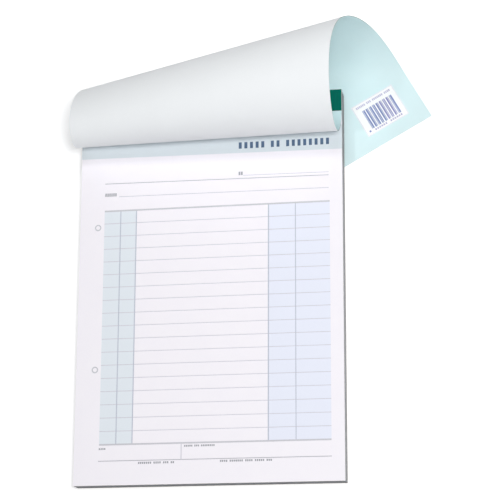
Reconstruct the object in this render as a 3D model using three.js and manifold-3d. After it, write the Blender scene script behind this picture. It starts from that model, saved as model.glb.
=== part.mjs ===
// A head-bound pad of self-copy delivery forms, lying face up, its cover rolled back over the head.
// Units are millimetres. X runs across the pad, Y towards its bound head, Z out of the top form.
// The origin is under the middle of the cover's crease, on the face that the pad rests on: Y is zero
// along the crease, and Z is zero under the cover's free end, which is tucked below the pad's head.

import * as THREE from 'three';
import { mergeVertices } from 'three/addons/utils/BufferGeometryUtils.js';
import Module from 'manifold-3d';

const wasm = await Module();
wasm.setup();

// Pad
const padWidth = 148;
const padHeight = 217;
const boardThickness = 1.0;
const leafThickness = 0.08;
const leafAir = 0.01;
const setsInPad = 50;
const looseSets = 3;
const leavesInSet = 2;

// Binding at the head
const frontBand = 12;
const backBand = 14;
const tapeThickness = 0.2;
const glueThickness = 0.3;
const stripThickness = 0.3;
const tapeCornerSteps = 4;

// Perforation below the head, with the paper ties that hold each leaf
const perforationDrop = 17;
const perforationGap = 0.6;
const tiePitch = 4;
const tieWidth = 1.2;
const tieLength = 0.3;

// Wire staples
const wireDiameter = 0.5;
const wireSides = 8;
const stapleCrown = 12;
const stapleSpacing = 74;
const stapleFromHead = 6;
const stapleClinch = 4.5;
const stapleBend = 0.6;
const stapleBendSteps = 4;
const stapleInset = 0.05;
const stapleClearance = 0.3;
const clinchClearance = 0.2;

// Cover sheet, rolled back over the head
const coverThickness = 0.3;
const coverOverhang = 1;
const creaseGap = 0.3;
const creaseLift = 0.2;
const creaseAngle = 15;
const underPadGap = 0.6;
const foldAngle = 4;

// The roll bends in stages. Each runs from one straight ruling of the sheet to the next, and a ruling
// is given by its distance from the crease along the sheet's left and right edges.
const startLeft = 8;
const startRight = 1;
const riseLeft = 30;
const riseRight = 38;
const riseAngle = 94;
const crestLeft = 46;
const crestRight = 79;
const crestAngle = 67;
const backLeft = 69;
const backRight = 109;
const backAngle = 67;
const fallLeft = 97;
const fallRight = 140;
const fallAngle = 39;

// Where the search for the last stage starts; it ends with the flap flat below the pad
const landingLeft = 9;
const landingRight = 45;
const landingAngle = 77;

// Sticker on the cover's outside
const stickerWidth = 26;
const stickerHeight = 20;
const stickerThickness = 0.1;
const stickerGlue = 0.02;
const stickerStep = 2;
const stickerFromRight = 10;
const stickerFromFoot = 8;

// The roll's rulings and turns, from the crease on
const firstRuling = { left: startLeft, right: startRight };
const rollStages = [
  { left: riseLeft, right: riseRight, turn: riseAngle },
  { left: crestLeft, right: crestRight, turn: crestAngle },
  { left: backLeft, right: backRight, turn: backAngle },
  { left: fallLeft, right: fallRight, turn: fallAngle },
];

// Levels and lines worked out from the sizes
const leafPitch = leafThickness + leafAir;
const leavesInPad = setsInPad * leavesInSet;
const looseLeaves = looseSets * leavesInSet;
const creaseY = 0;
const headY = creaseY + frontBand;
const footY = headY - padHeight;
const perforationY = headY - perforationDrop;
const boardLevel = coverThickness + underPadGap + tapeThickness;
const blockLevel = boardLevel + boardThickness;
const padTop = blockLevel + leavesInPad * leafPitch;
const stripTop = padTop + stripThickness;
const coverLength = padHeight - frontBand + coverOverhang;
const flapLevel = coverThickness / 2;
const wireRadius = wireDiameter / 2;

const material = (color, roughness, metalness = 0) =>
  new THREE.MeshStandardMaterial({ color, roughness, metalness });

const whitePaper = material(0xfafafd, 0.85);
const yellowPaper = material(0xf3edc6, 0.85);
const mintCard = material(0xd4eeec, 0.6);
const greenTape = material(0x056955, 0.7);
const greyBoard = material(0x9c958a, 0.9);
const steelWire = material(0xb9bcc0, 0.35, 0.9);
const milkyGlue = material(0xe9ecea, 0.5);
const stickerPaper = material(0xfbfbff, 0.5);

const pad = new THREE.Group();

function addPiece(name, geometry, pieceMaterial) {
  const mesh = new THREE.Mesh(geometry, pieceMaterial);
  mesh.name = name;
  pad.add(mesh);
  return mesh;
}

// A flat plate: an outline in X and Y, raised from one level by its thickness
function plate(outline, level, thickness) {
  const shape = new THREE.Shape(outline.map(([x, y]) => new THREE.Vector2(x, y)));
  const geometry = new THREE.ExtrudeGeometry(shape, { depth: thickness, bevelEnabled: false });
  geometry.translate(0, 0, level);
  return geometry;
}

function rectangle(x0, y0, x1, y1) {
  return [[x0, y0], [x1, y0], [x1, y1], [x0, y1]];
}

const acrossPad = (y0, y1) => rectangle(-padWidth / 2, y0, padWidth / 2, y1);

function boxBetween([x0, y0, z0], [x1, y1, z1]) {
  return plate(rectangle(x0, y0, x1, y1), z0, z1 - z0);
}

// Closed geometry to a solid that can be cut, and back
function toSolid(geometry) {
  const bare = geometry.clone();
  bare.deleteAttribute('normal');
  bare.deleteAttribute('uv');
  const merged = mergeVertices(bare);
  const vertProperties = new Float32Array(merged.attributes.position.array);
  const triVerts = new Uint32Array(merged.index.array);
  return new wasm.Manifold(new wasm.Mesh({ numProp: 3, vertProperties, triVerts }));
}

function fromSolid(solid) {
  const mesh = solid.getMesh();
  const geometry = new THREE.BufferGeometry();
  geometry.setAttribute('position', new THREE.BufferAttribute(new Float32Array(mesh.vertProperties), 3));
  geometry.setIndex(new THREE.BufferAttribute(new Uint32Array(mesh.triVerts), 1));
  geometry.computeVertexNormals();
  return geometry;
}

function cutAll(geometry, cutters) {
  let solid = toSolid(geometry);
  for (const cutter of cutters) solid = solid.subtract(toSolid(cutter));
  return fromSolid(solid);
}

// Staples: crown under the tape, legs through the stack, ends clinched into the backboard
const crownLevel = stripTop - wireRadius - stapleInset;
const clinchLevel = boardLevel + wireRadius + stapleInset;
const stapleY = headY - stapleFromHead;
const stapleCentres = { staple_left: -stapleSpacing / 2, staple_right: stapleSpacing / 2 };

// The wire's centre line in its own X, Z plane: corners of the open loop, each rounded
function stapleLine() {
  const legX = stapleCrown / 2;
  const endX = legX - stapleClinch;
  const corners = [
    [-endX, clinchLevel],
    [-legX, clinchLevel],
    [-legX, crownLevel],
    [legX, crownLevel],
    [legX, clinchLevel],
    [endX, clinchLevel],
  ].map(([x, z]) => new THREE.Vector2(x, z));
  const line = [corners[0]];
  for (let i = 1; i < corners.length - 1; i += 1) {
    const before = corners[i - 1].clone().sub(corners[i]).setLength(stapleBend).add(corners[i]);
    const after = corners[i + 1].clone().sub(corners[i]).setLength(stapleBend).add(corners[i]);
    const bend = new THREE.QuadraticBezierCurve(before, corners[i], after);
    line.push(...bend.getPoints(stapleBendSteps));
  }
  line.push(corners[corners.length - 1]);
  return line;
}

// A round wire swept along a line that stays in the plane y = 0
function sweptWire(line, radius, sides) {
  const positions = [];
  const index = [];
  line.forEach((point, i) => {
    const back = line[Math.max(i - 1, 0)];
    const ahead = line[Math.min(i + 1, line.length - 1)];
    const tangent = ahead.clone().sub(back).normalize();
    for (let k = 0; k < sides; k += 1) {
      const angle = (2 * Math.PI * k) / sides;
      const out = radius * Math.cos(angle);
      positions.push(point.x + tangent.y * out, radius * Math.sin(angle), point.y - tangent.x * out);
    }
  });
  for (let i = 0; i < line.length - 1; i += 1) {
    for (let k = 0; k < sides; k += 1) {
      const a = i * sides + k;
      const b = i * sides + ((k + 1) % sides);
      index.push(a, b, b + sides, a, b + sides, a + sides);
    }
  }
  const last = (line.length - 1) * sides;
  for (let k = 1; k < sides - 1; k += 1) {
    index.push(0, k + 1, k);
    index.push(last, last + k, last + k + 1);
  }
  const geometry = new THREE.BufferGeometry();
  geometry.setAttribute('position', new THREE.Float32BufferAttribute(positions, 3));
  geometry.setIndex(index);
  geometry.computeVertexNormals();
  return geometry;
}

for (const [name, x] of Object.entries(stapleCentres)) {
  addPiece(name, sweptWire(stapleLine(), wireRadius, wireSides), steelWire).position.set(x, stapleY, 0);
}

// Room for the wires: crown slots from the top, leg holes through, clinch grooves from below
const slotHalf = wireRadius + stapleClearance;
const slotFloor = padTop - looseLeaves * leafPitch - leafAir / 2;
const crownSlots = [];
const legHoles = [];
const clinchGrooves = [];
for (const x of Object.values(stapleCentres)) {
  const reach = stapleCrown / 2 + slotHalf;
  crownSlots.push(boxBetween(
    [x - reach, stapleY - slotHalf, slotFloor],
    [x + reach, stapleY + slotHalf, stripTop + 1],
  ));
  for (const side of [-1, 1]) {
    const legX = x + (side * stapleCrown) / 2;
    const hole = new THREE.CylinderGeometry(slotHalf, slotHalf, 3 * padTop, wireSides);
    hole.rotateX(Math.PI / 2);
    hole.translate(legX, stapleY, padTop / 2);
    legHoles.push(hole);
    const outer = legX + side * slotHalf;
    const inner = legX - side * (stapleClinch + slotHalf);
    clinchGrooves.push(boxBetween(
      [Math.min(outer, inner), stapleY - slotHalf, boardLevel - 1],
      [Math.max(outer, inner), stapleY + slotHalf, clinchLevel + wireRadius + clinchClearance],
    ));
  }
}

// Backboard
const boardPlate = plate(acrossPad(footY, headY), boardLevel, boardThickness);
addPiece('backboard', cutAll(boardPlate, [...legHoles, ...clinchGrooves]), greyBoard);

// The sets that stay down, trimmed as one block
const lowerLeaves = leavesInPad - looseLeaves;
const blockPlate = plate(acrossPad(footY, headY), blockLevel, lowerLeaves * leafPitch - leafAir);
addPiece('lower_sets', cutAll(blockPlate, legHoles), whitePaper);

// A leaf below its perforation, with the torn half of each paper tie along its upper edge
function leafOutline() {
  const edge = perforationY - perforationGap / 2;
  const tieTop = edge + tieLength / 2;
  const ties = Math.floor((padWidth - tiePitch) / tiePitch);
  const firstTie = -((ties - 1) * tiePitch) / 2;
  const points = [[-padWidth / 2, footY], [padWidth / 2, footY], [padWidth / 2, edge]];
  for (let i = ties - 1; i >= 0; i -= 1) {
    const x = firstTie + i * tiePitch;
    points.push([x + tieWidth / 2, edge], [x + tieWidth / 2, tieTop]);
    points.push([x - tieWidth / 2, tieTop], [x - tieWidth / 2, edge]);
  }
  points.push([-padWidth / 2, edge]);
  return points;
}

// The loose sets: for each leaf the form that turns up and the stub that stays in the head
const leafKinds = [
  { name: 'original', paper: whitePaper },
  { name: 'copy', paper: yellowPaper },
];
for (let set = 1; set <= looseSets; set += 1) {
  leafKinds.forEach(({ name, paper }, layer) => {
    const depth = (set - 1) * leavesInSet + layer + 1;
    const level = padTop - depth * leafPitch;
    addPiece(`${name}_${set}`, plate(leafOutline(), level, leafThickness), paper);
    const stub = plate(acrossPad(perforationY + perforationGap / 2, headY), level, leafThickness);
    addPiece(`${name}_${set}_stub`, cutAll(stub, crownSlots), paper);
  });
}

// The strip of cover card that is bound in, between the crease and the head
const stripPlate = plate(acrossPad(creaseY, headY), padTop, stripThickness);
addPiece('cover_bound_strip', cutAll(stripPlate, crownSlots), mintCard);

// Glue along the head, and the tape that wraps it from the crease to the back
const glueOuter = headY + glueThickness;
const gluePlate = plate(acrossPad(headY, glueOuter), boardLevel, stripTop - boardLevel);
addPiece('head_glue', gluePlate, milkyGlue);

// The tape's section, drawn in Y and Z: inside edge, then the outside with its two round corners
function tapeSection() {
  const shape = new THREE.Shape();
  shape.moveTo(creaseY, stripTop);
  shape.lineTo(glueOuter, stripTop);
  shape.lineTo(glueOuter, boardLevel);
  shape.lineTo(headY - backBand, boardLevel);
  shape.lineTo(headY - backBand, boardLevel - tapeThickness);
  shape.lineTo(glueOuter, boardLevel - tapeThickness);
  shape.absarc(glueOuter, boardLevel, tapeThickness, -Math.PI / 2, 0, false);
  shape.lineTo(glueOuter + tapeThickness, stripTop);
  shape.absarc(glueOuter, stripTop, tapeThickness, 0, Math.PI / 2, false);
  shape.lineTo(creaseY, stripTop + tapeThickness);
  return shape;
}

const tapeGeometry = new THREE.ExtrudeGeometry(tapeSection(), {
  depth: padWidth,
  bevelEnabled: false,
  curveSegments: tapeCornerSteps,
});
// Section X, Y become world Y, Z, and the extrusion runs along world X
tapeGeometry.applyMatrix4(new THREE.Matrix4().set(
  0, 0, 1, -padWidth / 2,
  1, 0, 0, 0,
  0, 1, 0, 0,
  0, 0, 0, 1,
));
addPiece('binding_tape', tapeGeometry, greenTape);

// The rolled cover. Its flat pattern has x from the left edge and y down from the crease, so that
// bending about straight rulings alone carries it to its place and never stretches it.
const creasePlace = new THREE.Matrix4()
  .makeTranslation(-padWidth / 2, creaseY, padTop + creaseLift)
  .multiply(new THREE.Matrix4().makeRotationX(-THREE.MathUtils.degToRad(creaseAngle)));

function foldAbout(left, right, degrees) {
  const start = new THREE.Vector3(0, -left, 0);
  const axis = new THREE.Vector3(padWidth, -right, 0).sub(start).normalize();
  const turn = new THREE.Matrix4().makeRotationAxis(axis, -THREE.MathUtils.degToRad(degrees));
  const there = new THREE.Matrix4().makeTranslation(start.x, start.y, start.z);
  const back = new THREE.Matrix4().makeTranslation(-start.x, -start.y, -start.z);
  return there.multiply(turn).multiply(back);
}

// All folds of the roll, in order, each with its ruling and the place of the panel beyond it
function rollFolds(stages) {
  const folds = [];
  const place = creasePlace.clone();
  let from = firstRuling;
  for (const stage of stages) {
    const count = Math.ceil(stage.turn / foldAngle);
    for (let i = 0; i < count; i += 1) {
      const share = (i + 0.5) / count;
      const left = THREE.MathUtils.lerp(from.left, stage.left, share);
      const right = THREE.MathUtils.lerp(from.right, stage.right, share);
      const before = place.clone();
      place.multiply(foldAbout(left, right, stage.turn / count));
      folds.push({ left, right, before, after: place.clone() });
    }
    from = stage;
  }
  return folds;
}

// The last stage is the one that brings the flap down flat at its level, found by Newton's method
function landingStage() {
  const last = rollStages[rollStages.length - 1];
  const guess = [last.left + landingLeft, last.right + landingRight, landingAngle];
  const steps = Math.ceil(landingAngle / foldAngle);
  const nudge = 0.01;
  const startPlace = rollFolds(rollStages).at(-1).after;

  const miss = ([left, right, turn]) => {
    const place = startPlace.clone();
    for (let i = 0; i < steps; i += 1) {
      const share = (i + 0.5) / steps;
      place.multiply(foldAbout(
        THREE.MathUtils.lerp(last.left, left, share),
        THREE.MathUtils.lerp(last.right, right, share),
        turn / steps,
      ));
    }
    const corner = new THREE.Vector3(padWidth, -coverLength, 0).applyMatrix4(place);
    const normal = new THREE.Vector3(0, 0, 1).transformDirection(place);
    return [padWidth * normal.x, padWidth * normal.y, corner.z - flapLevel];
  };

  for (let round = 0; round < 30; round += 1) {
    const now = miss(guess);
    if (Math.hypot(...now) < 1e-9) break;
    const slopes = guess.map((value, i) => {
      const nudged = [...guess];
      nudged[i] = value + nudge;
      return miss(nudged).map((moved, row) => (moved - now[row]) / nudge);
    });
    const [a, b, c] = slopes;
    const inverse = new THREE.Matrix3().set(a[0], b[0], c[0], a[1], b[1], c[1], a[2], b[2], c[2]).invert();
    const change = new THREE.Vector3(...now).applyMatrix3(inverse).clampLength(0, 10);
    guess[0] -= change.x;
    guess[1] -= change.y;
    guess[2] -= change.z;
  }
  return { left: guess[0], right: guess[1], turn: guess[2], steps };
}

function landingFolds(landing) {
  const last = rollStages[rollStages.length - 1];
  const place = rollFolds(rollStages).at(-1).after.clone();
  const folds = [];
  for (let i = 0; i < landing.steps; i += 1) {
    const share = (i + 0.5) / landing.steps;
    const left = THREE.MathUtils.lerp(last.left, landing.left, share);
    const right = THREE.MathUtils.lerp(last.right, landing.right, share);
    const before = place.clone();
    place.multiply(foldAbout(left, right, landing.turn / landing.steps));
    folds.push({ left, right, before, after: place.clone() });
  }
  return folds;
}

const folds = [...rollFolds(rollStages), ...landingFolds(landingStage())];
const flapPlace = folds[folds.length - 1].after;

// The card as a solid: a four-cornered ring at the root, at each ruling and at the free end
function coverGeometry() {
  const halfCard = coverThickness / 2;
  const positions = [];
  const index = [];

  const addRing = (left, right, placeBefore, placeAfter) => {
    const up = new THREE.Vector3(0, 0, 1).transformDirection(placeBefore);
    up.add(new THREE.Vector3(0, 0, 1).transformDirection(placeAfter)).normalize();
    const leftPoint = new THREE.Vector3(0, -left, 0).applyMatrix4(placeAfter);
    const rightPoint = new THREE.Vector3(padWidth, -right, 0).applyMatrix4(placeAfter);
    for (const [point, side] of [[leftPoint, 1], [rightPoint, 1], [rightPoint, -1], [leftPoint, -1]]) {
      positions.push(...point.clone().addScaledVector(up, side * halfCard).toArray());
    }
  };

  addRing(creaseGap, creaseGap, creasePlace, creasePlace);
  for (const fold of folds) addRing(fold.left, fold.right, fold.before, fold.after);
  addRing(coverLength, coverLength, flapPlace, flapPlace);

  const rings = folds.length + 2;
  for (let i = 0; i < rings - 1; i += 1) {
    for (let k = 0; k < 4; k += 1) {
      const a = 4 * i + k;
      const b = 4 * i + ((k + 1) % 4);
      index.push(a, a + 4, b, b, a + 4, b + 4);
    }
  }
  const end = 4 * (rings - 1);
  index.push(0, 1, 2, 0, 2, 3);
  index.push(end, end + 2, end + 1, end, end + 3, end + 2);
  const geometry = new THREE.BufferGeometry();
  geometry.setAttribute('position', new THREE.Float32BufferAttribute(positions, 3));
  geometry.setIndex(index);
  geometry.computeVertexNormals();
  return geometry;
}

addPiece('cover', coverGeometry(), mintCard);

// A point of the flat sheet, raised off its outer face, carried to its place on the finished roll
function onCover(x, y, raise) {
  let place = creasePlace;
  for (const fold of folds) {
    if (THREE.MathUtils.lerp(fold.left, fold.right, x / padWidth) > y) break;
    place = fold.after;
  }
  return new THREE.Vector3(x, -y, coverThickness / 2 + raise).applyMatrix4(place);
}

// The sticker lies on the flap's outside, square to the cover's edges, and bends with the card
function stickerGeometry() {
  const right = padWidth - stickerFromRight;
  const foot = coverLength - stickerFromFoot;
  const columns = Math.ceil(stickerWidth / stickerStep);
  const rows = Math.ceil(stickerHeight / stickerStep);
  const positions = [];
  for (const raise of [stickerGlue, stickerGlue + stickerThickness]) {
    for (let j = 0; j <= rows; j += 1) {
      for (let i = 0; i <= columns; i += 1) {
        const x = right - stickerWidth + (stickerWidth * i) / columns;
        const y = foot - (stickerHeight * j) / rows;
        positions.push(...onCover(x, y, raise).toArray());
      }
    }
  }

  const across = columns + 1;
  const layer = across * (rows + 1);
  const at = (i, j) => j * across + i;
  const index = [];
  for (let j = 0; j < rows; j += 1) {
    for (let i = 0; i < columns; i += 1) {
      const [a, b, c, d] = [at(i, j), at(i + 1, j), at(i + 1, j + 1), at(i, j + 1)];
      index.push(a, c, b, a, d, c);
      index.push(layer + a, layer + b, layer + c, layer + a, layer + c, layer + d);
    }
  }
  const rim = [];
  for (let i = 0; i < columns; i += 1) rim.push(at(i, 0));
  for (let j = 0; j < rows; j += 1) rim.push(at(columns, j));
  for (let i = columns; i > 0; i -= 1) rim.push(at(i, rows));
  for (let j = rows; j > 0; j -= 1) rim.push(at(0, j));
  rim.forEach((a, i) => {
    const b = rim[(i + 1) % rim.length];
    index.push(a, b, layer + b, a, layer + b, layer + a);
  });

  const geometry = new THREE.BufferGeometry();
  geometry.setAttribute('position', new THREE.Float32BufferAttribute(positions, 3));
  geometry.setIndex(index);
  geometry.computeVertexNormals();
  return geometry;
}

addPiece('barcode_sticker', stickerGeometry(), stickerPaper);

export default pad;
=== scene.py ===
"""Looks of a head-bound pad of self-copy delivery forms, its cover rolled back over the head.

Sizes below are millimetres in the part's frame; MM turns them into Blender's metres. X runs across the
pad, Y towards its bound head and Z out of the top form. Y is zero along the cover's crease, and Z is zero
under the cover's free end, which is tucked below the head.
"""

import math
import random

import bpy
import numpy as np
from mathutils import Matrix, Vector
from mathutils.geometry import delaunay_2d_cdt


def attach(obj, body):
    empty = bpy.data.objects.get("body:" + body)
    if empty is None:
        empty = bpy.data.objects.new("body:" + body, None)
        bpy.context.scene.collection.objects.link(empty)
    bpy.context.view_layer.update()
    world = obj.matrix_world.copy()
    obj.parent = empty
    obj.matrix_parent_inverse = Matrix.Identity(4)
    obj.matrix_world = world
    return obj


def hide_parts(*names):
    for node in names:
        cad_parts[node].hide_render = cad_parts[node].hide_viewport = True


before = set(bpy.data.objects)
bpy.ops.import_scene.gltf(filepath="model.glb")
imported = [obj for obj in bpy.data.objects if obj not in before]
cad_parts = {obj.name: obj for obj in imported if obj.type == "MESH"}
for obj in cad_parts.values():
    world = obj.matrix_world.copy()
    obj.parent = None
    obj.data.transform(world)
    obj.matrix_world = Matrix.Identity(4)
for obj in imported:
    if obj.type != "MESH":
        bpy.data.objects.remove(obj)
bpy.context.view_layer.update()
MM = 0.001

# The pad, with the sizes of the part's source

PAD_WIDTH = 148
PAD_HEIGHT = 217
FRONT_BAND = 12
HEAD_Y = FRONT_BAND
FOOT_Y = HEAD_Y - PAD_HEIGHT
COVER = 0.3
UNDER_PAD_GAP = 0.6
TAPE = 0.2
BOARD = 1.0
BLOCK = 9.0
BOARD_LEVEL = COVER + UNDER_PAD_GAP + TAPE
BLOCK_LEVEL = BOARD_LEVEL + BOARD
PAD_TOP = BLOCK_LEVEL + BLOCK
LEAF = 0.08
LEAF_PITCH = 0.09
LOOSE_SETS = 3
PERFORATION_DROP = 17
PERFORATION_Y = HEAD_Y - PERFORATION_DROP
PERFORATION_GAP = 0.6
TIE_PITCH = 4
TIE_WIDTH = 1.2
TIE_LENGTH = 0.3
CREASE_LIFT = 0.2
CREASE_ANGLE = 15
CREASE_GAP = 0.3
COVER_OVERHANG = 1
COVER_LENGTH = PAD_HEIGHT - FRONT_BAND + COVER_OVERHANG
FLAP_LEVEL = COVER / 2


# Materials

def srgb(r, g, b):
    """Display colour, 0 to 255, as the linear colour that a shader socket takes."""
    def linear(v):
        v /= 255
        return v / 12.92 if v <= 0.04045 else ((v + 0.055) / 1.055) ** 2.4
    return (linear(r), linear(g), linear(b), 1.0)


def shade(colour, factor):
    return tuple(min(c * factor, 1.0) for c in colour[:3]) + (1.0,)


def grey(level):
    return (level, level, level, 1.0)


class Nodes:
    """A material's node tree, with short calls to add and join nodes."""

    def __init__(self, name, roughness, specular=0.5):
        self.material = bpy.data.materials.new(name)
        self.material.use_nodes = True
        self.tree = self.material.node_tree
        self.shader = self.tree.nodes["Principled BSDF"]
        self.shader.inputs["Roughness"].default_value = roughness
        self.shader.inputs["Specular IOR Level"].default_value = specular
        self.place = self.add("ShaderNodeTexCoord").outputs["Object"]

    def add(self, kind, **values):
        node = self.tree.nodes.new(kind)
        for key, value in values.items():
            setattr(node, key, value)
        return node

    def join(self, start, end):
        self.tree.links.new(start, end)

    def feed(self, value, socket):
        """Join an output to a socket, or set the socket to a plain value."""
        if isinstance(value, bpy.types.NodeSocket):
            self.join(value, socket)
        else:
            socket.default_value = value

    def scaled(self, x, y, z):
        mapping = self.add("ShaderNodeMapping")
        mapping.inputs["Scale"].default_value = (x, y, z)
        self.join(self.place, mapping.inputs["Vector"])
        return mapping.outputs["Vector"]

    def noise(self, vector, scale=1.0, detail=3.0, rough=0.5):
        node = self.add("ShaderNodeTexNoise")
        node.inputs["Scale"].default_value = scale
        node.inputs["Detail"].default_value = detail
        node.inputs["Roughness"].default_value = rough
        self.join(vector, node.inputs["Vector"])
        return node.outputs["Fac"]

    def ramp(self, fac, stops):
        node = self.add("ShaderNodeValToRGB")
        ramp = node.color_ramp
        while len(ramp.elements) < len(stops):
            ramp.elements.new(0.5)
        for element, (at, colour) in zip(ramp.elements, stops):
            element.position = at
            element.color = colour
        self.join(fac, node.inputs["Fac"])
        return node.outputs["Color"]

    def shades(self, fac, colour, *stops):
        """The colour in darker and lighter shades, with a stop for each (position, factor)."""
        return self.ramp(fac, [(at, shade(colour, factor)) for at, factor in stops])

    def mix(self, a, b, fac, kind="MIX"):
        node = self.add("ShaderNodeMix", data_type="RGBA", blend_type=kind)
        for value, socket in ((fac, node.inputs[0]), (a, node.inputs[6]), (b, node.inputs[7])):
            self.feed(value, socket)
        return node.outputs[2]

    def math(self, kind, a, b):
        node = self.add("ShaderNodeMath", operation=kind)
        for value, socket in zip((a, b), node.inputs):
            self.feed(value, socket)
        return node.outputs[0]

    def colour(self, socket):
        self.join(socket, self.shader.inputs["Base Color"])

    def bump(self, height, distance):
        node = self.add("ShaderNodeBump")
        node.inputs["Distance"].default_value = distance
        node.inputs["Strength"].default_value = 1.0
        self.join(height, node.inputs["Height"])
        self.join(node.outputs["Normal"], self.shader.inputs["Normal"])


def paper(name, colour, roughness=0.85, specular=0.3, fibre=0.02, grain=0.012):
    """Paper: cloudy formation, fine fibres that run mostly one way, a slight tooth."""
    n = Nodes(name, roughness, specular)
    cloud = n.noise(n.place, scale=90, detail=4, rough=0.55)
    fibres = n.noise(n.scaled(1, 0.35, 1), scale=2600, detail=2, rough=0.6)
    base = n.shades(cloud, colour, (0.35, 1 - grain), (0.65, 1 + grain))
    threads = n.shades(fibres, colour, (0.3, 1 - fibre), (0.7, 1 + fibre))
    n.colour(n.mix(base, threads, 0.5))
    n.bump(fibres, 0.012 * MM)
    return n.material


def card(name, colour, roughness, grain=0.014, fibre=0.015):
    """Cover card: clouds twice as broad as in paper, coarser fibres and a shallower tooth."""
    n = Nodes(name, roughness, specular=0.4)
    cloud = n.noise(n.place, scale=45, detail=4, rough=0.6)
    fibres = n.noise(n.scaled(1, 0.4, 1), scale=1900, detail=3, rough=0.55)
    base = n.shades(cloud, colour, (0.3, 1 - grain), (0.7, 1 + grain))
    threads = n.shades(fibres, colour, (0.3, 1 - fibre), (0.7, 1 + fibre))
    n.colour(n.mix(base, threads, 0.4))
    n.bump(fibres, 0.01 * MM)
    return n.material


def ink(name, colour, cover=0.9):
    """Offset ink on paper: the colour breaks up a little over the fibres, less so near a cover of 1."""
    n = Nodes(name, roughness=0.7, specular=0.35)
    speck = n.noise(n.place, scale=3200, detail=2, rough=0.6)
    n.colour(n.shades(speck, colour, (0.25, cover), (0.8, 1 / cover)))
    n.bump(speck, 0.008 * MM)
    return n.material


SET_GAP = (0.55, 0.55, 0.56, 1)
# Painted shade: the grey that the block's foot side is multiplied by, so that it looks shadowed
FOOT_PAINTED_SHADE = (0.72, 0.73, 0.74, 1)
FOOT_MARGIN = 0.3


def leaf_edges(name, light, dark, tint):
    """Cut edges of a stack of leaves: fine layers along Z with a tinted leaf in each pair, coarser bands,
    darker gaps between sets, and trim marks. The foot side is darker than the sides: painted shade."""
    n = Nodes(name, roughness=0.9, specular=0.2)
    layers = n.noise(n.scaled(6, 6, 1 / (2 * LEAF_PITCH * MM)), detail=1)
    sets = n.noise(n.scaled(4, 4, 1300), detail=1)
    coarse = n.noise(n.scaled(3, 3, 480), detail=3, rough=0.7)
    marks = n.noise(n.scaled(260, 260, 25), detail=3, rough=0.6)
    body = n.ramp(layers, [(0.32, dark), (0.5, light), (0.68, tint)])
    bands = n.ramp(coarse, [(0.3, shade(dark, 0.75)), (0.5, light), (0.7, shade(light, 1.25))])
    body = n.mix(body, bands, 0.45)
    body = n.mix(body, n.ramp(sets, [(0.34, SET_GAP), (0.44, grey(1))]), 0.6, "MULTIPLY")
    body = n.mix(body, n.shades(marks, light, (0.3, 0.9), (0.7, 1.05)), 0.15)
    split = n.add("ShaderNodeSeparateXYZ")
    n.join(n.place, split.inputs[0])
    # Painted shade: edges below the foot margin are darkened, as if the foot side lay in shadow
    at_foot = n.math("LESS_THAN", split.outputs["Y"], (FOOT_Y + FOOT_MARGIN) * MM)
    n.colour(n.mix(body, FOOT_PAINTED_SHADE, at_foot, "MULTIPLY"))
    n.bump(layers, 0.04 * MM)
    return n.material


WEAVE_SCALE = 420


def cloth_tape(name, colour):
    """Paper tape embossed with a fine linen weave, rubbed a little paler in patches."""
    n = Nodes(name, roughness=0.8, specular=0.08)
    waves = []
    for direction in "XYZ":
        wave = n.add("ShaderNodeTexWave", wave_type="BANDS", bands_direction=direction, wave_profile="SIN")
        wave.inputs["Scale"].default_value = WEAVE_SCALE
        wave.inputs["Distortion"].default_value = 1.2
        wave.inputs["Detail"].default_value = 1.0
        wave.inputs["Detail Scale"].default_value = 0.4
        n.join(n.place, wave.inputs["Vector"])
        waves.append(wave.outputs["Fac"])
    weave = n.math("MULTIPLY", n.math("ADD", waves[1], waves[2]), waves[0])
    threads = n.shades(weave, colour, (0.15, 0.82), (0.75, 1.12))
    wear = n.noise(n.place, scale=60, detail=4, rough=0.6)
    worn = n.ramp(wear, [(0.5, grey(0)), (0.9, grey(0.35))])
    n.colour(n.mix(threads, shade(colour, 1.35), worn))
    n.bump(weave, 0.03 * MM)
    return n.material


def grey_board(name, colour):
    """Recycled board: mottled, with darker and lighter specks of fibre."""
    n = Nodes(name, roughness=0.92, specular=0.15)
    cloud = n.noise(n.place, scale=130, detail=5, rough=0.65)
    base = n.shades(cloud, colour, (0.3, 0.88), (0.7, 1.1))
    specks = n.noise(n.scaled(1, 0.5, 1), scale=1500, detail=2, rough=0.8)
    fibres = n.shades(specks, colour, (0.38, 0.45), (0.46, 1), (0.64, 1), (0.72, 1.7))
    n.colour(n.mix(base, fibres, 0.45))
    n.bump(specks, 0.03 * MM)
    return n.material


def steel(name):
    """Galvanised staple wire, drawn lengthwise."""
    n = Nodes(name, roughness=0.32)
    n.shader.inputs["Metallic"].default_value = 1.0
    streaks = n.noise(n.scaled(60, 2500, 60), detail=2)
    n.colour(n.ramp(streaks, [(0.3, srgb(168, 171, 175)), (0.7, srgb(205, 208, 212))]))
    n.bump(streaks, 0.01 * MM)
    return n.material


def glue(name):
    """Milky padding glue, brushed on in small lumps."""
    n = Nodes(name, roughness=0.4)
    lumps = n.noise(n.place, scale=700)
    n.colour(n.ramp(lumps, [(0.3, srgb(224, 228, 226)), (0.7, srgb(240, 242, 240))]))
    n.bump(lumps, 0.05 * MM)
    return n.material


white_paper = paper("white_form_paper", srgb(251, 248, 255))
copy_paper = paper("yellow_copy_paper", srgb(244, 238, 200))
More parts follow.
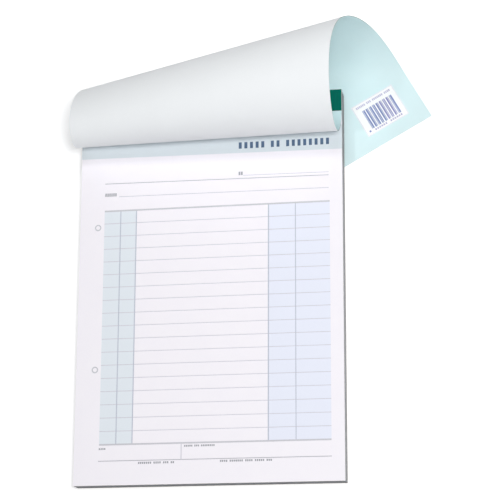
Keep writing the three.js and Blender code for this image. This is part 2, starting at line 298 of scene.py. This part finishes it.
# Painted shade: the edge greys are much darker than the white and yellow paper, to stand in for the shadow
# on the cut edges
block_edges_painted_shade = leaf_edges("block_leaf_edges_painted_shade", srgb(176, 178, 182), srgb(112, 115, 120), srgb(162, 163, 160))
mint_outside = card("mint_card_outside", srgb(219, 242, 245), roughness=0.5, grain=0.03)
white_inside = card("white_card_inside", srgb(240, 243, 245), roughness=0.62)
card_edge = card("cover_cut_edge", srgb(158, 172, 168), roughness=0.8)
tape_green = cloth_tape("green_linen_tape", srgb(0, 106, 90))
board_grey = grey_board("grey_backboard", srgb(158, 152, 142))
staple_steel = steel("staple_wire")
glue_milk = glue("padding_glue")
sticker_white = paper("sticker_coated_paper", srgb(254, 254, 255), roughness=0.4, specular=0.5,
                      fibre=0.006, grain=0.004)

# Inks of the white forms, and the darker marks that they make on the yellow copies

TINT_COVER = 0.985
INKS = {
    "band": ink("ink_header_band", srgb(224, 233, 238), TINT_COVER),
    "left_tint": ink("ink_left_columns", srgb(231, 238, 245), TINT_COVER),
    "right_tint": ink("ink_right_columns", srgb(236, 240, 254), TINT_COVER),
    "row": ink("ink_row_lines", srgb(212, 211, 221)),
    "column": ink("ink_column_lines", srgb(194, 199, 213)),
    "table": ink("ink_table_rules", srgb(204, 204, 211)),
    "rule": ink("ink_writing_rule", srgb(182, 182, 190)),
    "title": ink("ink_title_bars", srgb(84, 108, 138)),
    "label": ink("ink_label_bars", srgb(164, 166, 172)),
    "ring": ink("ink_punch_rings", srgb(204, 206, 212)),
}
COPY_SHADE = 0.9
COPY_COLOURS = {
    "band": srgb(214, 220, 205),
    "left_tint": srgb(220, 222, 196),
    "right_tint": srgb(226, 226, 200),
    "row": srgb(190, 190, 182),
    "column": srgb(175, 177, 176),
    "table": srgb(176, 178, 172),
    "rule": srgb(150, 153, 150),
    "title": srgb(84, 104, 130),
    "label": srgb(130, 132, 134),
    "ring": srgb(168, 170, 166),
}
COPY_INKS = {key: ink("copy_" + key, shade(colour, COPY_SHADE)) for key, colour in COPY_COLOURS.items()}


# The printed form, measured from the middle of the pad

ROW_LEFT, ROW_RIGHT = -60.0, 66.9
TABLE_TOP, ROW_PITCH, ROWS = 44.8, 7.295, 18
TABLE_FOOT = TABLE_TOP - ROWS * ROW_PITCH
COLUMNS = (-50.7, -41.7, 32.95, 47.9)
COLUMN_WIDTHS = (0.6, 0.63, 0.66, 0.5)
BAND_FOOT_LEFT, BAND_FOOT_RIGHT, BAND_TOP = 75.9, 74.5, 88.5
HAIR, FINE, DIVIDER, HEAVY = 0.4, 0.42, 0.55, 0.9
FOOT_LINE, FOOT_LINE_LEFT, FOOT_LINE_RIGHT = -95.4, -60.3, 67.0
FOOT_DIVIDER = -14.5
RINGS = ((-63.6, 35.4), (-63.4, -45.2))
RING_OUTER, RING_INNER, RING_SIDES = 1.85, 1.15, 28

# Writing rules in the head, as ink, left end, right end, height, width and fall
HEAD_RULES = (
    ("row", 18.7, 66.5, 61.9, HAIR, 0.4),
    ("rule", -60.1, 66.4, 60.8, FINE, 1.05),
    ("row", -51.9, 66.4, 53.0, FINE, 0.5),
)

# Lines of bars, as left, right, foot, top, bars in each group, gap between groups and space between bars
TITLE = (16.1, 66.8, 77.5, 81.2, (5, 2, 8), 0.7, 1.5)
HEAD_LABELS = (
    (16.1, 18.4, 62.1, 64.1, (2,), 0, 0.3),
    (-59.9, -53.4, 53.3, 55.2, (6,), 0, 0.35),
)
FOOT_LABELS = (
    (-60.1, -56.4, -89.3, -88.3, (4,), 0, 0.25),
    (-12.9, 3.8, -88.6, -87.6, (5, 3, 8), 0.8, 0.25),
    (-38.1, -18.3, -97.3, -96.2, (7, 4, 3, 2), 0.9, 0.3),
    (6.8, 34.9, -97.2, -96.1, (4, 7, 4, 5, 3), 0.9, 0.3),
)


def box(x0, y0, x1, y1):
    return [(x0, y0), (x1, y0), (x1, y1), (x0, y1)]


def across(x0, x1, y, width, fall=0):
    """A line from left to right, which the press set a little askew where it falls."""
    edge = width / 2
    return [(x0, y - edge), (x1, y - fall - edge), (x1, y - fall + edge), (x0, y + edge)]


def down(x, y0, y1, width):
    return box(x - width / 2, y0, x + width / 2, y1)


def disc(x, y, radius):
    turns = [2 * math.pi * k / RING_SIDES for k in range(RING_SIDES)]
    return [(x + radius * math.cos(turn), y + radius * math.sin(turn)) for turn in turns]


def word_bars(x0, x1, y0, y1, words, gap, space):
    """Bars of even height that fill x0 to x1, in groups. gap counts in pitches of the bars."""
    pitch = (x1 - x0 + space) / (sum(words) + gap * (len(words) - 1))
    shapes, at = [], x0
    for count in words:
        for _ in range(count):
            shapes.append(box(at, y0, at + pitch - space, y1))
            at += pitch
        at += gap * pitch
    return shapes


def form_shapes():
    """The print as (ink, outline), where a later shape lies over an earlier one and None is bare paper."""
    left, right = -PAD_WIDTH / 2, PAD_WIDTH / 2
    band = [(left, BAND_FOOT_LEFT), (right, BAND_FOOT_RIGHT), (right, BAND_TOP), (left, BAND_TOP)]
    shapes = [("band", band)]
    shapes += [("title", bar) for bar in word_bars(*TITLE)]
    shapes.append(("left_tint", box(ROW_LEFT, TABLE_FOOT, COLUMNS[1], TABLE_TOP)))
    shapes.append(("right_tint", box(COLUMNS[2], TABLE_FOOT, ROW_RIGHT, TABLE_TOP)))
    for row in range(1, ROWS):
        shapes.append(("row", across(ROW_LEFT, ROW_RIGHT, TABLE_TOP - row * ROW_PITCH, HAIR)))
    for x, width in zip(COLUMNS, COLUMN_WIDTHS):
        shapes.append(("column", down(x, TABLE_FOOT, TABLE_TOP, width)))
    for y in (TABLE_TOP, TABLE_FOOT):
        shapes.append(("table", across(ROW_LEFT, ROW_RIGHT, y, HEAVY)))
    for key, *line in HEAD_RULES:
        shapes.append((key, across(*line)))
    for label in HEAD_LABELS:
        shapes += [("label", bar) for bar in word_bars(*label)]
    shapes.append(("rule", across(FOOT_LINE_LEFT, FOOT_LINE_RIGHT, FOOT_LINE, FINE)))
    shapes.append(("row", down(FOOT_DIVIDER, FOOT_LINE, TABLE_FOOT, DIVIDER)))
    for label in FOOT_LABELS:
        shapes += [("label", bar) for bar in word_bars(*label)]
    for x, y in RINGS:
        shapes.append(("ring", disc(x, y, RING_OUTER)))
        shapes.append((None, disc(x, y, RING_INNER)))
    middle = HEAD_Y - PAD_HEIGHT / 2
    return [(key, [(x, y + middle) for x, y in shape]) for key, shape in shapes]


def leaf_outline():
    """A loose leaf's outline, with the torn half of each paper tie along its upper edge."""
    edge = PERFORATION_Y - PERFORATION_GAP / 2
    tie_top = edge + TIE_LENGTH / 2
    ties = int((PAD_WIDTH - TIE_PITCH) // TIE_PITCH)
    first = -(ties - 1) * TIE_PITCH / 2
    points = [(-PAD_WIDTH / 2, FOOT_Y), (PAD_WIDTH / 2, FOOT_Y), (PAD_WIDTH / 2, edge)]
    for i in reversed(range(ties)):
        x = first + i * TIE_PITCH
        points += [(x + TIE_WIDTH / 2, edge), (x + TIE_WIDTH / 2, tie_top),
                   (x - TIE_WIDTH / 2, tie_top), (x - TIE_WIDTH / 2, edge)]
    points.append((-PAD_WIDTH / 2, edge))
    return points


def add_object(name, vertices, faces, materials, indices, smooth=False):
    mesh = bpy.data.meshes.new(name)
    mesh.from_pydata([tuple(c * MM for c in v) for v in vertices], [], faces)
    for material in materials:
        mesh.materials.append(material)
    mesh.polygons.foreach_set("material_index", indices)
    mesh.polygons.foreach_set("use_smooth", [smooth] * len(faces))
    mesh.update()
    piece = bpy.data.objects.new(name, mesh)
    bpy.context.scene.collection.objects.link(piece)
    return piece


CUT_INSIDE = 1
CUT_TOLERANCE = 1e-4
FACE_SLOT, EDGE_SLOT, FIRST_INK_SLOT = 0, 1, 2


def cut_face(outline, shapes, lines):
    """The outline cut into triangles along the print and the lines: points, triangles, and their inks."""
    points, loops, cuts = [], [], []
    for loop in [outline] + [shape for _, shape in shapes]:
        loops.append(list(range(len(points), len(points) + len(loop))))
        points += [Vector(p) for p in loop]
    for start, end in lines:
        cuts.append((len(points), len(points) + 1))
        points += [Vector(start), Vector(end)]
    cut = delaunay_2d_cdt(points, cuts, loops, CUT_INSIDE, CUT_TOLERANCE, True)
    flat, cut_faces, origins = cut[0], cut[2], cut[5]
    triangles, keys = [], []
    for (a, b, c), origin in zip(cut_faces, origins):
        if 0 not in origin:
            continue
        if (flat[b] - flat[a]).cross(flat[c] - flat[a]) < 0:
            b, c = c, b
        triangles.append((a, b, c))
        keys.append(shapes[max(origin) - 1][0] if max(origin) > 0 else None)
    return flat, triangles, keys


def printed_plate(name, outline, rings, shapes, inks, face_material, edge_material, lines=(), place=None):
    """A closed plate whose upper face is cut along the print, so that each ink is its own faces.
    rings are the (inset, height) steps of its side from the top down, lines are further cuts, and place
    moves a point (x, y, height) to where it belongs."""
    flat, triangles, keys = cut_face(outline, shapes, lines)
    last = len(rings) - 1
    faces = [[(0, v) for v in triangle] for triangle in triangles]
    faces += [[(last, v) for v in reversed(triangle)] for triangle in triangles]
    slots = {key: slot for slot, key in enumerate(inks, FIRST_INK_SLOT)}
    indices = [slots[key] if key else FACE_SLOT for key in keys] + [FACE_SLOT] * len(triangles)
    edges = {edge for a, b, c in triangles for edge in ((a, b), (b, c), (c, a))}
    for a, b in sorted((a, b) for a, b in edges if (b, a) not in edges):
        for step in range(last):
            faces.append([(step, b), (step, a), (step + 1, a), (step + 1, b)])
            indices.append(EDGE_SLOT)
    used = {corner: i for i, corner in enumerate(sorted({c for face in faces for c in face}))}
    (left, foot), (right, _) = outline[0], outline[2]
    vertices = []
    for step, v in used:
        inset, height = rings[step]
        x = min(max(flat[v][0], left + inset), right - inset)
        vertices.append((x, max(flat[v][1], foot + inset), height))
    if place is not None:
        vertices = [place(*v) for v in vertices]
    materials = [face_material, edge_material] + list(inks.values())
    return add_object(name, vertices, [[used[c] for c in face] for face in faces], materials, indices)


shapes = form_shapes()
outline = leaf_outline()
leaf_top = PAD_TOP
for number in range(1, LOOSE_SETS + 1):
    for kind, stock, inks in (("original", white_paper, INKS), ("copy", copy_paper, COPY_INKS)):
        node = f"{kind}_{number}"
        top = leaf_top - (LEAF_PITCH - LEAF)
        rings = [(0, top), (0, top - LEAF)]
        form = printed_plate(f"printed_{node}", outline, rings, shapes, inks, stock, stock)
        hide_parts(node)
        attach(form, f"{node}_leaf")
        leaf_top -= LEAF_PITCH


# The trimmed block of lower leaves

STACK_GROUPS = 24
STACK_SLIP = 0.1
STACK_SEED = 3


def stack_rings(top, foot):
    """A trimmed stack's side from the top down: groups of leaves, all but the first drawn back a hair."""
    rng = random.Random(STACK_SEED)
    rings = []
    for i in range(STACK_GROUPS):
        inset = rng.uniform(0, STACK_SLIP) if i else 0
        rings.append((inset, top + (foot - top) * i / STACK_GROUPS))
        rings.append((inset, top + (foot - top) * (i + 1) / STACK_GROUPS))
    return rings


block_outline = box(-PAD_WIDTH / 2, FOOT_Y, PAD_WIDTH / 2, HEAD_Y)
block_rings = stack_rings(leaf_top - (LEAF_PITCH - LEAF), BLOCK_LEVEL)
block = printed_plate("printed_block", block_outline, block_rings, shapes, INKS, white_paper, block_edges_painted_shade)
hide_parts("lower_sets")
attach(block, "bound_pad")


# The rolled cover: a flat card bent about straight rulings alone, so it never stretches

ROLL_TURN = (0, 94, 161, 228, 267)
ROLL_LEFT = (8, 30, 46, 69, 97)
ROLL_RIGHT = (1, 38, 79, 109, 140)
LANDING_GUESS = (9, 45, 77)
LANDING_TRIES = 20
LANDING_MISS = 1e-7
LANDING_PROBE = 0.01
LANDING_STRIDE = 8
FOLD_STEP = 1.5
SHARP_ANGLE = 40
CARD_SIDES = [mint_outside, white_inside, card_edge]
OUTSIDE, INSIDE, CUT_EDGE = 0, 1, 2
ROW_SLOTS = (OUTSIDE, CUT_EDGE, INSIDE, CUT_EDGE)


def moved(x, y, z):
    m = np.eye(4)
    m[:3, 3] = (x, y, z)
    return m


def turned(axis, degrees):
    a = np.array(axis, float)
    a /= np.linalg.norm(a)
    k = np.array([[0, -a[2], a[1]], [a[2], 0, -a[0]], [-a[1], a[0], 0]])
    t = math.radians(degrees)
    m = np.eye(4)
    m[:3, :3] = np.eye(3) + math.sin(t) * k + (1 - math.cos(t)) * (k @ k)
    return m


CREASE_PLACE = moved(-PAD_WIDTH / 2, 0, PAD_TOP + CREASE_LIFT) @ turned((1, 0, 0), -CREASE_ANGLE)


def fold_about(left, right, degrees):
    axis = (PAD_WIDTH, left - right, 0)
    return moved(0, -left, 0) @ turned(axis, -degrees) @ moved(0, left, 0)


def roll_folds(landing):
    """The rulings of the whole roll, as (left, right, place before, place after), for a last stage of
    (left, right, turn)."""
    turns = list(ROLL_TURN) + [ROLL_TURN[-1] + landing[2]]
    lefts = list(ROLL_LEFT) + [ROLL_LEFT[-1] + landing[0]]
    rights = list(ROLL_RIGHT) + [ROLL_RIGHT[-1] + landing[1]]
    place, folds = CREASE_PLACE.copy(), []
    for t0, t1, l0, l1, r0, r1 in zip(turns, turns[1:], lefts, lefts[1:], rights, rights[1:]):
        count = round((t1 - t0) / FOLD_STEP)
        for i in range(count):
            share = (i + 0.5) / count
            left, right = l0 + (l1 - l0) * share, r0 + (r1 - r0) * share
            before = place
            place = place @ fold_about(left, right, (t1 - t0) / count)
            folds.append((left, right, before, place))
    return folds


def landed(guess):
    """Newton's method on the last stage, until the flap is level and at its height."""
    guess = np.array(guess, float)

    def miss(values):
        place = roll_folds(values)[-1][3]
        corner = place @ np.array([PAD_WIDTH, -COVER_LENGTH, 0, 1])
        return np.array([PAD_WIDTH * place[0, 2], PAD_WIDTH * place[1, 2], corner[2] - FLAP_LEVEL])

    for _ in range(LANDING_TRIES):
        now = miss(guess)
        if np.linalg.norm(now) < LANDING_MISS:
            break
        probes = [guess + step for step in LANDING_PROBE * np.eye(3)]
        slopes = np.column_stack([(miss(probe) - now) / LANDING_PROBE for probe in probes])
        guess = guess - np.clip(np.linalg.solve(slopes, now), -LANDING_STRIDE, LANDING_STRIDE)
    return roll_folds(guess)


folds = landed(LANDING_GUESS)
flap_place = folds[-1][3]


def cover_mesh():
    """The card as rows of four corners, one row at each ruling, with its two sides and its cut edges."""
    rings = [(CREASE_GAP, CREASE_GAP, CREASE_PLACE, CREASE_PLACE)] + folds
    rings.append((COVER_LENGTH, COVER_LENGTH, flap_place, flap_place))
    vertices, faces, indices = [], [], []
    for left, right, before, after in rings:
        up = before[:3, 2] + after[:3, 2]
        up /= np.linalg.norm(up)
        start = (after @ np.array([0, -left, 0, 1]))[:3]
        end = (after @ np.array([PAD_WIDTH, -right, 0, 1]))[:3]
        for point, side in ((start, 1), (end, 1), (end, -1), (start, -1)):
            vertices.append(tuple(point + up * side * COVER / 2))
    for i in range(len(rings) - 1):
        for k, slot in enumerate(ROW_SLOTS):
            a, b = 4 * i + k, 4 * i + (k + 1) % 4
            faces.append([a, a + 4, b + 4, b])
            indices.append(slot)
    last = 4 * (len(rings) - 1)
    faces += [[0, 1, 2, 3], [last, last + 3, last + 2, last + 1]]
    indices += [CUT_EDGE, CUT_EDGE]
    return vertices, faces, indices


vertices, faces, indices = cover_mesh()
cover = add_object("rolled_cover_card", vertices, faces, CARD_SIDES, indices, smooth=True)
cover.data.set_sharp_from_angle(angle=math.radians(SHARP_ANGLE))
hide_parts("cover")
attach(cover, "rolled_cover")


# Sticker on the flap, with a plain pattern of bars, measured from its own lower left corner

STICKER_WIDTH, STICKER_HEIGHT, STICKER, STICKER_GLUE = 26, 20, 0.1, 0.02
STICKER_FROM_RIGHT, STICKER_FROM_FOOT = 10, 8
STICKER_LEFT = PAD_WIDTH - STICKER_FROM_RIGHT - STICKER_WIDTH
STICKER_FOOT = -(COVER_LENGTH - STICKER_FROM_FOOT)
STICKER_STEP = 2
# Painted shadow: inset and width of a pale line just inside the sticker's edge
STICKER_SHADOW_INSET, STICKER_SHADOW_WIDTH = 0.2, 0.18
STICKER_SEED = 7
BARS_LEFT, BARS_RIGHT, BARS_FOOT, BARS_TOP = 4.3, 22.6, 3.0, 15.0
WARM_LEFT, WARM_RIGHT = 13, 20
BAR_GROUPS = (((0.85, 0.25), (0.35, 0.7)), ((0.35, 0.25), (0.85, 0.65)), ((0.55, 0.25), (0.6, 0.75)))
CAPTIONS = ((2.2, 23.6, 17.2, 18.5, (6, 3, 7, 4), 0.8, 0.4), (5.4, 22.6, 1.2, 2.3, (6, 6), 1.4, 0.5))
CORNER_MARK = (2.0, 1.8, 3.0, 2.8)


def on_cover(x, y, height):
    """A point of the flat card, raised off its middle, at its place on the finished roll."""
    place = CREASE_PLACE
    for left, right, _, after in folds:
        if left + (right - left) * x / PAD_WIDTH > -y:
            break
        place = after
    return tuple((place @ np.array([x, y, height, 1.0]))[:3])


def edge_shadow_lines(x0, y0, x1, y1, width):
    """The four sides of a thin frame: painted shadow along the sticker's edge, drawn as ink."""
    return [("outline", box(x0, y0, x1, y0 + width)),
            ("outline", box(x0, y1 - width, x1, y1)),
            ("outline", box(x0, y0 + width, x0 + width, y1 - width)),
            ("outline", box(x1 - width, y0 + width, x1, y1 - width))]


def sticker_shapes():
    """Bars across the sticker, two broken lines and a thin frame of painted shadow along its edge. The bars
    come in pairs of (width, gap).
    """
    rng = random.Random(STICKER_SEED)
    right, top = STICKER_WIDTH - STICKER_SHADOW_INSET, STICKER_HEIGHT - STICKER_SHADOW_INSET
    shapes = edge_shadow_lines(STICKER_SHADOW_INSET, STICKER_SHADOW_INSET, right, top, STICKER_SHADOW_WIDTH)
    x = BARS_LEFT
    while x < BARS_RIGHT:
        key = "bar" if x < WARM_LEFT or x > WARM_RIGHT else "bar_warm"
        for width, gap in rng.choice(BAR_GROUPS):
            shapes.append((key, box(x, BARS_FOOT, x + width, BARS_TOP)))
            x += width + gap
    for caption in CAPTIONS:
        shapes += [("caption", bar) for bar in word_bars(*caption)]
    shapes.append(("bar", box(*CORNER_MARK)))
    return [(key, [(STICKER_LEFT + x, STICKER_FOOT + y) for x, y in shape]) for key, shape in shapes]


STICKER_INKS = {
    "bar": ink("ink_sticker_bars", srgb(112, 130, 190)),
    "bar_warm": ink("ink_sticker_bars_warm", srgb(132, 132, 192)),
    "caption": ink("ink_sticker_caption", srgb(178, 172, 206)),
    # Painted shadow: the pale line just inside the sticker's edge
    "outline": ink("ink_sticker_edge_shadow", srgb(206, 206, 226)),
}
sticker_right, sticker_top = STICKER_LEFT + STICKER_WIDTH, STICKER_FOOT + STICKER_HEIGHT
sticker_cuts = [((STICKER_LEFT, STICKER_FOOT + y), (sticker_right, STICKER_FOOT + y))
                for y in range(STICKER_STEP, STICKER_HEIGHT, STICKER_STEP)]
sticker_cuts += [((STICKER_LEFT + x, STICKER_FOOT), (STICKER_LEFT + x, sticker_top))
                 for x in range(STICKER_STEP, STICKER_WIDTH, STICKER_STEP)]
sticker = printed_plate(
    "sticker_with_bars", box(STICKER_LEFT, STICKER_FOOT, sticker_right, sticker_top),
    [(0, COVER / 2 + STICKER_GLUE + STICKER), (0, COVER / 2 + STICKER_GLUE)], sticker_shapes(), STICKER_INKS,
    sticker_white, sticker_white, sticker_cuts, on_cover)
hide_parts("barcode_sticker")
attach(sticker, "rolled_cover")


# CAD pieces whose shape is right get their materials

def dress(node, material):
    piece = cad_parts[node]
    piece.data.materials.clear()
    piece.data.materials.append(material)


dress("binding_tape", tape_green)
dress("backboard", board_grey)
dress("head_glue", glue_milk)
dress("cover_bound_strip", mint_outside)
for node in ("staple_left", "staple_right"):
    dress(node, staple_steel)
for number in range(1, LOOSE_SETS + 1):
    dress(f"original_{number}_stub", white_paper)
    dress(f"copy_{number}_stub", copy_paper)


# Floor

FLOOR_Z = -0.05
FLOOR_REACH = 3000
FLOOR_PAINT = srgb(234, 234, 235)

# Metres from the frame's origin, and level
GLOW_STOPS = ((0.22, 0.43), (1.0, 0.9))


def floor_material():
    """A pale matt table that glows a little, as a light table does, and more so far from the pad."""
    n = Nodes("pale_floor", roughness=0.9, specular=0.2)
    soft = n.noise(n.place, scale=6, detail=2)
    n.colour(n.shades(soft, FLOOR_PAINT, (0.3, 0.995), (0.7, 1)))
    length = n.add("ShaderNodeVectorMath", operation="LENGTH")
    n.join(n.place, length.inputs[0])
    glow = n.ramp(length.outputs["Value"], [(at, grey(level)) for at, level in GLOW_STOPS])
    n.join(glow, n.shader.inputs["Emission Color"])
    n.shader.inputs["Emission Strength"].default_value = 1.0
    return n.material


floor_corners = [(x, y, FLOOR_Z) for x, y in box(-FLOOR_REACH, -FLOOR_REACH, FLOOR_REACH, FLOOR_REACH)]
floor = add_object("floor", floor_corners, [[0, 1, 2, 3]], [floor_material()], [0])


# Light and camera

# Height on the unit sphere, and level
STUDIO_STOPS = ((0.03, 1.0), (0.1, 0.2), (0.4, 0.066))
STUDIO_STRENGTH = 0.9

# Places in metres, and directions, in the part's frame
LIGHT_AIM = Vector((0.01, -0.07, 0.02))
CAMERA_PLACE = (0.19504, -0.32951, 0.95158)
CAMERA_RIGHT = (0.98377, 0.00343, -0.17938)
CAMERA_UP = (0.04244, 0.96699, 0.25125)
CAMERA_BACK = (0.17432, -0.25479, 0.95115)

# Lens and sensor in millimetres, and the nearest visible distance in metres
LENS_LENGTH = 129.93
SENSOR_WIDTH = 36
CLIP_START = 0.05


def studio_world():
    """A studio with bright walls down at the floor, which fade into a dim ceiling."""
    world = bpy.data.worlds.new("studio")
    world.use_nodes = True
    nodes, links = world.node_tree.nodes, world.node_tree.links
    place = nodes.new("ShaderNodeTexCoord")
    split = nodes.new("ShaderNodeSeparateXYZ")
    ramp = nodes.new("ShaderNodeValToRGB")
    ramp.color_ramp.elements.new(0.5)
    for element, (height, level) in zip(ramp.color_ramp.elements, STUDIO_STOPS):
        element.position = height
        element.color = grey(level)
    links.new(place.outputs["Generated"], split.inputs["Vector"])
    links.new(split.outputs["Z"], ramp.inputs["Fac"])
    links.new(ramp.outputs["Color"], nodes["Background"].inputs["Color"])
    nodes["Background"].inputs["Strength"].default_value = STUDIO_STRENGTH
    return world


def lamp(name, azimuth, elevation, distance, size, power):
    """A round soft light that looks at the pad from an azimuth and elevation, in degrees."""
    data = bpy.data.lights.new(name, "AREA")
    data.shape = "DISK"
    data.size = size
    data.energy = power
    a, e = math.radians(azimuth), math.radians(elevation)
    away = Vector((math.cos(a) * math.cos(e), math.sin(a) * math.cos(e), math.sin(e)))
    piece = bpy.data.objects.new(name, data)
    piece.location = LIGHT_AIM + away * distance
    piece.rotation_euler = (-away).to_track_quat("-Z", "Y").to_euler()
    bpy.context.scene.collection.objects.link(piece)


bpy.context.scene.world = studio_world()
lamp("window", 330, 70, distance=1.5, size=0.3, power=4.45)
lamp("window_near", 330, 70, distance=0.85, size=0.25, power=2.9)
lamp("back_fill", 90, 70, distance=1.5, size=0.3, power=2.4)
lamp("right_near", 60, 70, distance=0.85, size=0.25, power=1.0)
lamp("left_key", 210, 60, distance=1.5, size=0.12, power=2.5)

camera_data = bpy.data.cameras.new("camera")
camera_data.lens = LENS_LENGTH
camera_data.sensor_width = SENSOR_WIDTH
camera_data.clip_start = CLIP_START
camera = bpy.data.objects.new("camera", camera_data)
camera_turn = Matrix((CAMERA_RIGHT, CAMERA_UP, CAMERA_BACK)).transposed()
camera.matrix_world = Matrix.Translation(Vector(CAMERA_PLACE)) @ camera_turn.to_4x4()
bpy.context.scene.collection.objects.link(camera)
bpy.context.scene.camera = camera
bpy.context.scene.view_settings.view_transform = "Standard"
